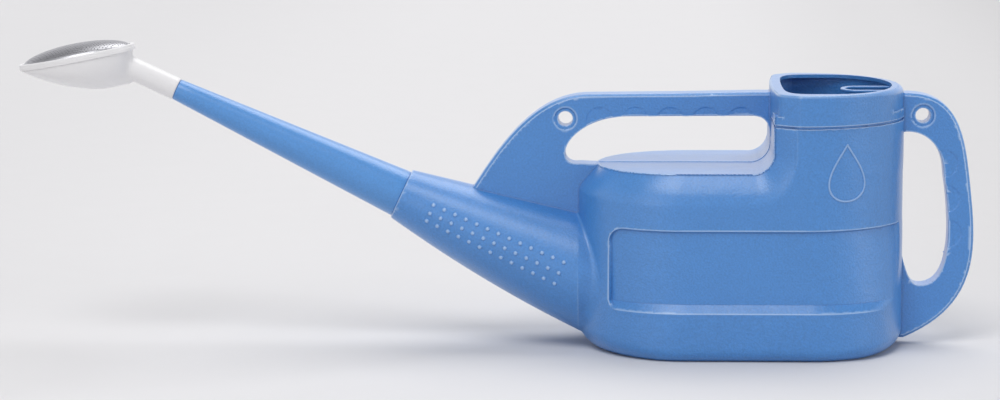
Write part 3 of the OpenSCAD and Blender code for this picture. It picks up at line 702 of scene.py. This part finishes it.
def bowl_distance(u, v, w):
    """The bowl in its own frame: an oval that deepens from the far tip to the pipe."""
    deep = np.maximum(-RING - w, 0)
    lean = u + 0.24 * (RING + deep) * np.clip(u / BOWL_A, 0, 1.2)
    k = lean / BOWL_A
    t = np.clip((k + 1) / 2, 0, 1)
    keel = (BOWL_DEPTH - RING) * (1 - (1 - np.minimum(1, t / 0.76))**1.8)
    half = BOWL_B * np.sqrt(np.clip(1 - 0.97 * k * k, 0.01, 1))
    p = 2.35
    g = ((np.abs(v) / half)**p + (deep / np.maximum(keel, 0.6))**p)**(1 / p)
    section = (g - 1) * np.minimum(half, np.maximum(keel, 0.6)) * 0.8
    end = np.abs(lean) - BOWL_A * 0.985
    return soft_max(soft_max(section, end, 3.0), w + RING, 0.1)

def rose_distance(x, y, z):
    u, w = to_rose(x, z)
    along, off = past_lip(x, z) - SPOUT, np.hypot((x - LIP[0]) * AXIS_UP[0] + (z - LIP[1]) * AXIS_UP[1], y)
    pipe = soft_max(round_edge(off - 8.4, -along, 0.8), along - 41.4, 0.5)
    outer = soft_min(bowl_distance(u, y, w), pipe, 3.0)
    outer = np.maximum(outer, w + RING)
    room = bowl_distance(u, y, np.minimum(w, -RING - 1.0)) + 1.8
    bore = np.maximum(off - 6.5, np.maximum(3.0 - along, along - 46))
    return np.maximum(outer, -np.minimum(room, bore))

low_corner, high_corner = np.array(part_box("rose_body")) / MM
print("bowl box:", low_corner.round(1), high_corner.round(1))

# %% Rose body
def lofted(name, rings, place=on_rose):
    """Rings of the same count joined in order, the last one to the first."""
    n = len(rings[0])
    verts = np.vstack(rings)
    pairs = [(i, i + 1) for i in range(len(rings) - 1)] + [(len(rings) - 1, 0)]
    faces = [[a * n + k, a * n + (k + 1) % n, b * n + (k + 1) % n, b * n + k] for a, b in pairs for k in range(n)]
    made = make_object(name, place(verts), faces)
    made.data.set_sharp_from_angle(angle=SHARP)
    return made

ROSE_STEP = 0.8
rose_body = make_object("rose_bowl", *skin_mesh(rose_distance, [
    grid_line(low_corner[0] - 2, high_corner[0] + 2, ROSE_STEP),
    grid_line(ROSE_STEP / 2, high_corner[1] + 2, ROSE_STEP),
    grid_line(low_corner[2] - 2, high_corner[2] + 2, ROSE_STEP)], mirror=True))
SPIGOT, R = SPOUT - 28.0, 6.1
spigot = turned("spigot", [(3.8, SPIGOT), (R - 0.8, SPIGOT), (R, SPIGOT + 1.2), (R, SPIGOT + 12.6),
                           (R - 1.2, SPIGOT + 12.6), (R - 1.2, SPIGOT + 15.4), (R, SPIGOT + 15.4),
                           (R, SPOUT + 1.5), (3.8, SPOUT + 3.2)], 64)
print("rose bowl:", len(rose_body.data.polygons), "faces")

# %% Snap ring
def rose_oval(inset, height, count=144):
    a = 2 * np.pi * np.arange(count) / count
    return np.stack([(ROSE_LENGTH / 2 - inset) * np.cos(a), (ROSE_WIDTH / 2 - inset) * np.sin(a),
                     np.full(count, height)], 1)

ring_profile = [(0.0, -RING), (0.0, -2.35), (0.22, -2.1), (0.22, -0.75), (0.4, -0.32), (0.75, -0.07), (1.1, 0.0),
                (2.6, 0.0), (2.9, -0.12), (3.0, -0.4), (3.0, -1.5), (1.6, -1.6), (1.6, -RING)]
rose_ring = lofted("rose_snap_ring", [rose_oval(e, z) for e, z in ring_profile])
print("snap ring:", len(rose_ring.data.polygons), "faces")

# %% [markdown]
# The face is a domed sheet with several hundred small holes. They are really cut, so
# that light falls through them and their edges catch the light. One mesh of thin rods
# in a staggered pattern does it in a single cut.

# %% Perforated face
EDGE, STEP, TOP, RISE_H = 1.7, 3.4, -1.7, 9.4
DOME_A, DOME_B = ROSE_LENGTH / 2 - STEP, ROSE_WIDTH / 2 - STEP

def dome_height(u, v):
    """Height of the domed face over the ring's plane at a point of its plan."""
    share = np.clip((u / DOME_A)**2 + (v / DOME_B)**2, 0, 1)
    return TOP + RISE_H * (1 - share)**0.55

def dome_distance(x, y, z):
    u, w = to_rose(x, z)
    return (w - dome_height(u, y)) * 0.7

def dome_ring(share, drop, count=144):
    a = 2 * np.pi * np.arange(count) / count
    height = np.full(count, TOP + RISE_H * (1 - share * share)**0.55 - drop)
    return np.stack([(DOME_A - drop) * share * np.cos(a), (DOME_B - drop) * share * np.sin(a), height], 1)

def dome_rings(drop, low):
    rings = [rose_oval(EDGE + drop, low), rose_oval(EDGE + drop, TOP - drop), rose_oval(STEP + drop, TOP - drop)]
    return rings + [dome_ring(math.cos(a), drop) for a in np.radians(np.linspace(8, 86, 15))]

outer_rings, inner_rings = dome_rings(0.0, -RING), dome_rings(0.8, -RING)
n = 144
verts = np.vstack(outer_rings + inner_rings[::-1])
rows = len(outer_rings) + len(inner_rings)
half = len(outer_rings) - 1
faces = [[i * n + k, i * n + (k + 1) % n, (i + 1) * n + (k + 1) % n, (i + 1) * n + k]
         for i in range(rows) for k in range(n) if i != half]
faces = [[q % (rows * n) for q in f] for f in faces]
faces += [list(range(half * n, half * n + n)), list(range((half + 1) * n, (half + 2) * n))[::-1]]
rose_face = make_object("rose_perforated_face", on_rose(verts), faces)

HOLE, PITCH = 0.55, 2.35
places = []
for row in range(-10, 11):
    for col in range(-20, 21):
        u, v = (col + 0.5 * (row % 2)) * PITCH, row * PITCH * 0.866
        if (u / (DOME_A - 1.8))**2 + (v / (DOME_B - 1.8))**2 < 1:
            places.append((u, v))
turn = 2 * np.pi * np.arange(8) / 8
rods = np.array([[[u + HOLE * c, v + HOLE * s, w] for c, s in zip(np.cos(turn), np.sin(turn))]
                 for u, v in places for w in (-3.6, 11.0)]).reshape(-1, 3)
faces = []
for i in range(len(places)):
    a, b = 16 * i, 16 * i + 8
    faces += [list(range(a, a + 8))[::-1], list(range(b, b + 8))]
    faces += [[a + k, a + (k + 1) % 8, b + (k + 1) % 8, b + k] for k in range(8)]
cut(rose_face, [make_object("hole_rods", on_rose(rods), faces)])
shade_by(rose_face, [(dome_distance, 1)], near=0.25)
print("holes in the face:", len(places), "faces of the sheet:", len(rose_face.data.polygons))

# %% [markdown]
# ## Raised details
# The socket has rows of small round studs for grip on both sides. They follow the
# cone, so each one is set on the skin by stepping from the side until the distance
# says that the skin is reached, and it is turned to stand square on it.

# %% Find the skin from the side
def on_skin(field, x, z, side, start=90.0):
    """Points of the skin at the given x and z, met when coming from the side, and their slopes."""
    x, z = np.asarray(x, float), np.asarray(z, float)
    y = np.full(x.shape, start)
    for _ in range(80):
        y = y - np.clip(field(x, y, z), -2, 8) * 0.7
    n = slope(field, np.stack([x, y, z], 1), 0.6)
    p = np.stack([x, y, z], 1)
    return p * [1, side, 1], n * [1, side, 1]

def dome_grid(radius, height, rings=5, count=16):
    """A round stud with a skirt below the skin, as corners and faces."""
    verts, faces = [], []
    for i in range(rings):
        a = math.pi / 2 * i / rings
        for k in range(count):
            b = 2 * math.pi * k / count
            verts.append((radius * math.cos(a) * math.cos(b), radius * math.cos(a) * math.sin(b), height * math.sin(a)))
    verts.append((0, 0, height))
    verts = [(x, y, -0.5) for x, y, z in verts[:count]] + verts
    for i in range(rings):
        for k in range(count):
            faces.append((i * count + k, i * count + (k + 1) % count,
                          (i + 1) * count + (k + 1) % count, (i + 1) * count + k))
    top = (rings + 1) * count
    faces += [(rings * count + k, rings * count + (k + 1) % count, top) for k in range(count)]
    faces.append(tuple(range(count))[::-1])
    return np.array(verts), faces

STUD_ROWS = [((-227.8, 106.9), (-131.2, 67.7)), ((-230.4, 100.9), (-135.0, 60.0)), ((-232.9, 95.3), (-138.2, 51.9))]
STUD_RADIUS, STUD_HEIGHT, STUDS_IN_ROW = 1.75, 1.1, 13
stud_verts, stud_faces = dome_grid(STUD_RADIUS, STUD_HEIGHT)
verts, faces = [], []
for (x0, z0), (x1, z1) in STUD_ROWS:
    for side in (-1, 1):
        x, z = np.linspace(x0, x1, STUDS_IN_ROW), np.linspace(z0, z1, STUDS_IN_ROW)
        spots, out = on_skin(tank_distance, x, z, side)
        for p, n in zip(spots, out):
            turn = np.array(Vector(n).to_track_quat("Z", "Y").to_matrix())
            faces += [[q + len(verts) for q in f] for f in stud_faces]
            verts += list(stud_verts @ turn.T + p)
studs = make_object("grip_studs", verts, faces)
# Painted highlight: the studs are marked paler towards their tops.
crest = np.clip(stud_verts[:, 2] / STUD_HEIGHT, 0, 1) * 0.75
mark_values(studs, np.tile(crest, len(verts) // len(stud_verts)))
studs.data.set_sharp_from_angle(angle=math.radians(60))
print("grip studs:", len(faces) // len(stud_faces))

# %% [markdown]
# Under the mouth the side carries a raised outline of a water drop, a plain mark that
# says what the can is for. It is a thin bead swept along a drop-shaped line on the skin.

# %% Drop outline
def drop_line(width, height, count=120):
    """A drop with a round foot and a pointed head, as x and z."""
    a = np.linspace(0, 2 * np.pi, count, endpoint=False)
    x = width / 2 * np.sin(a) * np.sin(a / 2)**1.35 * 1.2
    return np.stack([x, height / 2 * np.cos(a)], 1)

def bead_on_skin(name, line, radius, count=10):
    """A thin bead along a closed line on both sides of the tank, with a painted highlight along its crest."""
    verts, faces = [], []
    for side in (-1, 1):
        p, out = on_skin(tank_distance, line[:, 0], line[:, 1], side)
        ahead = np.roll(p, -1, 0) - np.roll(p, 1, 0)
        ahead /= np.linalg.norm(ahead, axis=1)[:, None]
        across = np.cross(ahead, out)
        across /= np.linalg.norm(across, axis=1)[:, None]
        start = len(verts)
        for q, o, c in zip(p, out, across):
            for k in range(count):
                a = 2 * math.pi * k / count
                verts.append(q + o * radius * 0.75 * math.sin(a) + c * radius * math.cos(a))
        n = len(p)
        for i in range(n):
            for k in range(count):
                faces.append([start + i * count + k, start + ((i + 1) % n) * count + k,
                              start + ((i + 1) % n) * count + (k + 1) % count, start + i * count + (k + 1) % count])
    bead = make_object(name, verts, faces)
    # Painted highlight: the bead's crest is marked paler.
    ring = np.sin(2 * np.pi * np.arange(count) / count)
    mark_values(bead, np.tile(np.clip(ring, 0, 1) * 0.6, len(verts) // count))
    return bead

drop = bead_on_skin("drop_outline", drop_line(30, 41) + [72.7, 137.5], 0.9)
print("drop outline:", len(drop.data.polygons), "faces")

# %% Loop in the mouth
LOOP_LEFT = 119 - 1.5 - 1 - 12 + 5 - 38 + 12
def loop_line(inset, height):
    a = np.linspace(np.pi / 2, 3 * np.pi / 2, 32)
    left = np.stack([LOOP_LEFT + 0.8 * (15 - inset) * np.cos(a), (15 - inset) * np.sin(a)], 1)
    right = [[115 - inset, -15 + inset], [115 - inset, 15 - inset]]
    plan = np.vstack([left, right])
    return np.column_stack([plan, np.full(len(plan), height)])

loop_profile = [(0.4, 189.0), (0.0, 189.5), (0.0, 190.5), (0.4, 191.0),
                (4.1, 191.0), (4.5, 190.5), (4.5, 189.5), (4.1, 189.0)]
park_loop = lofted("rose_parking_loop", [loop_line(e, z) for e, z in loop_profile], place=lambda p: np.asarray(p))
print("loop:", len(park_loop.data.polygons), "faces")

# %% [markdown]
# ## Finishes
# Blow-moulded polyethylene is never quite even. Its skin has a fine grain from the
# mould, faint cloudy patches where the wall is thicker, and a softer shine where it
# was handled. One node group makes these from noise at several sizes, and each
# material uses it with its own values.

# %% Helpers for nodes
def srgb(r, g, b):
    """A colour given as 0 to 255 steps of a screen colour, as the linear value nodes expect."""
    return tuple((c / 255 / 12.92 if c <= 10 else ((c / 255 + 0.055) / 1.055)**2.4) for c in (r, g, b)) + (1.0,)

def node(tree, kind, links=(), **values):
    """Adds a node, sets its values by socket name or by attribute, and joins the given inputs."""
    made = tree.nodes.new(kind)
    for key, value in values.items():
        if hasattr(made, key):
            setattr(made, key, value)
        else:
            made.inputs[key.replace("_", " ")].default_value = value
    for name, source in links:
        tree.links.new(source, made.inputs[name])
    return made

def math_node(tree, operation, a, b):
    made = tree.nodes.new("ShaderNodeMath")
    made.operation = operation
    for i, v in enumerate((a, b)):
        if isinstance(v, (int, float)):
            made.inputs[i].default_value = v
        else:
            tree.links.new(v, made.inputs[i])
    return made.outputs[0]

def mix_colour(tree, amount, a, b, how="MIX"):
    made = tree.nodes.new("ShaderNodeMix")
    made.data_type, made.blend_type = "RGBA", how
    for i, v in ((0, amount), (6, a), (7, b)):
        if isinstance(v, (int, float, tuple)):
            made.inputs[i].default_value = v
        else:
            tree.links.new(v, made.inputs[i])
    return made.outputs[2]

print("a mid blue in linear light:", [round(v, 3) for v in srgb(70, 138, 207)])

# %% Node group: moulded plastic skin
def moulded_group():
    g = bpy.data.node_groups.new("moulded_skin", "ShaderNodeTree")
    for name, kind, start in (("Color", "NodeSocketColor", (0.5, 0.5, 0.5, 1)), ("Roughness", "NodeSocketFloat", 0.4),
                              ("Grain Size", "NodeSocketFloat", 0.8), ("Clouding", "NodeSocketFloat", 0.06),
                              ("Speckle", "NodeSocketFloat", 0.1)):
        g.interface.new_socket(name, in_out="INPUT", socket_type=kind).default_value = start
    for name, kind in (("Color", "NodeSocketColor"), ("Roughness", "NodeSocketFloat"), ("Height", "NodeSocketFloat")):
        g.interface.new_socket(name, in_out="OUTPUT", socket_type=kind)
    start, end = g.nodes.new("NodeGroupInput"), g.nodes.new("NodeGroupOutput")
    place = g.nodes.new("ShaderNodeTexCoord").outputs["Object"]
    fine_scale = math_node(g, "DIVIDE", 1000.0, start.outputs["Grain Size"])
    fine = node(g, "ShaderNodeTexNoise", [("Vector", place), ("Scale", fine_scale)], Detail=2.0, Roughness=0.6)
    cloud = node(g, "ShaderNodeTexNoise", [("Vector", place)], Scale=22.0, Detail=3.0, Roughness=0.55)
    ripple = node(g, "ShaderNodeTexNoise", [("Vector", place)], Scale=75.0, Detail=1.0)
    shade = math_node(g, "MULTIPLY", math_node(g, "SUBTRACT", cloud.outputs["Fac"], 0.5), start.outputs["Clouding"])
    fleck = math_node(g, "MULTIPLY", math_node(g, "SUBTRACT", fine.outputs["Fac"], 0.5), start.outputs["Speckle"])
    value = math_node(g, "ADD", 1.0, math_node(g, "MULTIPLY", math_node(g, "ADD", shade, fleck), 2.0))
    hue = node(g, "ShaderNodeHueSaturation", [("Color", start.outputs["Color"]), ("Value", value)])
    rough = math_node(g, "ADD", start.outputs["Roughness"],
                      math_node(g, "ADD", math_node(g, "MULTIPLY", shade, 0.8), math_node(g, "MULTIPLY", fleck, 0.6)))
    height = math_node(g, "ADD", math_node(g, "MULTIPLY", fine.outputs["Fac"], 1.0),
                       math_node(g, "MULTIPLY", ripple.outputs["Fac"], 1.6))
    g.links.new(hue.outputs["Color"], end.inputs["Color"])
    g.links.new(rough, end.inputs["Roughness"])
    g.links.new(height, end.inputs["Height"])
    return g

skin_group = moulded_group()
print("group outputs:", [s.name for s in skin_group.interface.items_tree if s.in_out == "OUTPUT"])

# %% Plastics
def plastic(name, colour, rough, grain=0.8, clouding=0.06, speckle=0.1, bump=0.3, coat=0.5, painted_edge_light=0.0):
    m = bpy.data.materials.new(name)
    m.use_nodes = True
    t = m.node_tree
    shader = t.nodes["Principled BSDF"]
    skin = t.nodes.new("ShaderNodeGroup")
    skin.node_tree = skin_group
    for key, value in (("Color", colour), ("Roughness", rough), ("Grain Size", grain),
                       ("Clouding", clouding), ("Speckle", speckle)):
        skin.inputs[key].default_value = value
    relief = node(t, "ShaderNodeBump", [("Height", skin.outputs["Height"])], Strength=bump, Distance=0.0004)
    tone = skin.outputs["Color"]
    if painted_edge_light:
        # Painted light: where the skin bends outwards the colour is mixed towards a pale highlight blue, and in inner
        # corners, finger dents and at the spout's tip towards a dark painted shade.
        bend = node(t, "ShaderNodeAttribute", attribute_name="painted_light_and_shade").outputs["Fac"]
        painted_highlight = node(t, "ShaderNodeMapRange", [("Value", bend)], From_Min=0.15, From_Max=0.75, To_Max=painted_edge_light)
        painted_shade = node(t, "ShaderNodeMapRange", [("Value", bend)], From_Min=-0.2, From_Max=-0.9, To_Max=painted_edge_light * 0.7)
        tone = mix_colour(t, painted_highlight.outputs[0], tone, srgb(176, 204, 236))
        tone = mix_colour(t, painted_shade.outputs[0], tone, srgb(36, 84, 150))
    t.links.new(tone, shader.inputs["Base Color"])
    t.links.new(skin.outputs["Roughness"], shader.inputs["Roughness"])
    t.links.new(relief.outputs["Normal"], shader.inputs["Normal"])
    shader.inputs["Coat Weight"].default_value = coat
    shader.inputs["Coat Roughness"].default_value = 0.32
    return m

tank_blue = plastic("tank_blue_plastic", srgb(64, 132, 202), 0.36,
                    grain=1.5, speckle=0.26, bump=1.0, coat=0.8, painted_edge_light=0.7)
spout_blue = plastic("spout_blue_plastic", srgb(72, 140, 208), 0.34,
                     grain=1.4, speckle=0.2, bump=0.5, coat=0.8, painted_edge_light=0.7)
rose_white = plastic("rose_ivory_plastic", srgb(233, 232, 233), 0.38,
                     clouding=0.03, speckle=0.03, bump=0.06, coat=0.2)
rubber = plastic("seal_rubber_soft", srgb(34, 34, 36), 0.62, grain=0.5, clouding=0.1, speckle=0.12, bump=0.2)
print("plastics:", [m.name for m in (tank_blue, spout_blue, rose_white, rubber)])

# %% [markdown]
# The face of the rose is stainless sheet. It was polished in one direction before it
# was pressed, so it shows fine streaks along its length, and the press left it a
# little uneven. Noise stretched along one direction makes the streaks.

# %% Steel
def steel(name, colour, rough):
    m = bpy.data.materials.new(name)
    m.use_nodes = True
    t = m.node_tree
    shader = t.nodes["Principled BSDF"]
    place = t.nodes.new("ShaderNodeTexCoord").outputs["Object"]
    turned_place = node(t, "ShaderNodeMapping", [("Vector", place)])
    turned_place.inputs["Rotation"].default_value = (0, TILT, 0)
    turned_place.inputs["Scale"].default_value = (60, 1800, 300)
    streak = node(t, "ShaderNodeTexNoise", [("Vector", turned_place.outputs[0])], Scale=1.0, Detail=3.0)
    cloud = node(t, "ShaderNodeTexNoise", [("Vector", place)], Scale=60.0, Detail=2.0)
    tone = mix_colour(t, streak.outputs["Fac"], colour, tuple(c * 0.8 for c in colour[:3]) + (1.0,))
    t.links.new(tone, shader.inputs["Base Color"])
    t.links.new(math_node(t, "ADD", rough - 0.1, math_node(t, "MULTIPLY", math_node(
        t, "ADD", streak.outputs["Fac"], cloud.outputs["Fac"]), 0.1)), shader.inputs["Roughness"])
    relief = node(t, "ShaderNodeBump", [("Height", streak.outputs["Fac"])], Strength=0.1, Distance=0.0002)
    t.links.new(relief.outputs["Normal"], shader.inputs["Normal"])
    shader.inputs["Metallic"].default_value = 1.0
    return m

rose_steel = steel("rose_stainless_steel", srgb(176, 176, 180), 0.36)
print("metal:", rose_steel.name)

# %% [markdown]
# ## Dress the model
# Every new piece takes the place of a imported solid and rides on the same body, so the
# spout still turns and pulls out, and the rose still turns on it.

# %% Places and bodies
def dress(piece, material, body, slot, *nodes):
    piece.data.materials.clear()
    piece.data.materials.append(material)
    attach(piece, body)
    if nodes:
        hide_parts(*nodes)

dress(tank_skin, tank_blue, "tank", "tank_blue", "tank")
dress(studs, tank_blue, "tank", "tank_blue")
dress(drop, tank_blue, "tank", "tank_blue")
dress(park_loop, tank_blue, "tank", "tank_blue")
dress(spout, spout_blue, "spout", "spout_blue", "spout")
dress(rose_body, rose_white, "rose", "rose_white", "rose_body")
dress(spigot, rose_white, "rose", "rose_white")
dress(rose_ring, rose_white, "rose", "rose_white", "rose_rim")
dress(rose_face, rose_steel, "rose", "rose_steel", "rose_plate")
for name in ("spout_seal", "rose_seal"):
    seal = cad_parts[name]
    seal.data.materials.clear()
    seal.data.materials.append(rubber)

# %% [markdown]
# ## Floor and light
# A wide pale floor fills the view behind the can and keeps its shadow. Two broad soft
# lamps hang above it: one towards the viewer, which puts the pale haze on the slanted
# band, and one behind and to the right, which draws the shine along the spout and
# throws the shadow forward. Two low ones at the left and the right draw a soft shine
# down the sides. The floor's colour is darker towards its left and right sides, most at
# the right: painted shade where the light would fall off.

# %% Floor
floor_mesh = bpy.data.meshes.new("studio_floor")
floor_mesh.from_pydata([(-9, -4, 0), (9, -4, 0), (9, 9, 0), (-9, 9, 0)], [], [(0, 1, 2, 3)])
floor = bpy.data.objects.new("studio_floor", floor_mesh)
bpy.context.scene.collection.objects.link(floor)
paper = plastic("floor_paper", srgb(222, 221, 222), 0.9, grain=1.5, clouding=0.01, speckle=0.0, bump=0.0, coat=0.0)
t = paper.node_tree
across = node(t, "ShaderNodeSeparateXYZ", [("Vector", t.nodes.new("ShaderNodeTexCoord").outputs["Object"])])
# Painted shade: this ramp darkens the floor's colour towards its sides, by position across the floor.
painted_falloff = t.nodes.new("ShaderNodeValToRGB")
share = node(t, "ShaderNodeMapRange", [("Value", across.outputs["X"])], From_Min=-0.9, From_Max=0.6)
t.links.new(share.outputs[0], painted_falloff.inputs[0])
ramp = painted_falloff.color_ramp
ramp.interpolation = "EASE"
for at, shade in ((0.0, 0.94), (1.0, 0.79), (0.35, 1.0), (0.6, 1.0), (0.8, 0.91)):
    stop = ramp.elements[0] if at == 0 else ramp.elements[-1] if at == 1 else ramp.elements.new(at)
    stop.color = (shade, shade, shade, 1)
base = t.nodes["Principled BSDF"].inputs["Base Color"]
t.links.new(mix_colour(t, 1.0, base.links[0].from_socket, painted_falloff.outputs[0], "MULTIPLY"), base)
floor_mesh.materials.append(paper)
print("floor: 18 by 13 m")

# %% Light
def sun(name, azimuth, height, strength, softness, colour=(1, 1, 1)):
    """A far lamp; azimuth 0 comes from the viewer's side and 90 from the left."""
    data = bpy.data.lights.new(name, "SUN")
    data.energy, data.angle, data.color = strength, math.radians(softness), colour
    lamp = bpy.data.objects.new(name, data)
    a, h = math.radians(azimuth), math.radians(height)
    way = Vector((-math.sin(a) * math.cos(h), -math.cos(a) * math.cos(h), math.sin(h)))
    lamp.rotation_euler = way.to_track_quat("Z", "Y").to_euler()
    bpy.context.scene.collection.objects.link(lamp)
    return lamp

sun("above_front", 20, 58, 1.2, 30)
sun("above_behind", -155, 64, 1.4, 44)
sun("front_left", 34, 12, 0.25, 30)
sun("right", -66, 14, 0.5, 24)

world = bpy.data.worlds.new("studio_air")
bpy.context.scene.world = world
world.use_nodes = True
t = world.node_tree
t.nodes.clear()
rays = t.nodes.new("ShaderNodeLightPath")
seen = math_node(t, "MAXIMUM", rays.outputs["Is Camera Ray"],
                 math_node(t, "MAXIMUM", rays.outputs["Is Glossy Ray"], rays.outputs["Is Transmission Ray"]))
height = node(t, "ShaderNodeSeparateXYZ", [("Vector", t.nodes.new("ShaderNodeTexCoord").outputs["Generated"])])
fade = node(t, "ShaderNodeMapRange", [("Value", height.outputs["Z"])],
            From_Min=0.35, From_Max=0.8, To_Min=0.95, To_Max=0.0)
strength = math_node(t, "ADD", 0.4, math_node(t, "MULTIPLY", seen, fade.outputs[0]))
back = node(t, "ShaderNodeBackground", [("Strength", strength)], Color=srgb(233, 233, 236))
out = t.nodes.new("ShaderNodeOutputWorld")
t.links.new(back.outputs[0], out.inputs["Surface"])
bpy.context.scene.view_settings.view_transform = "Standard"
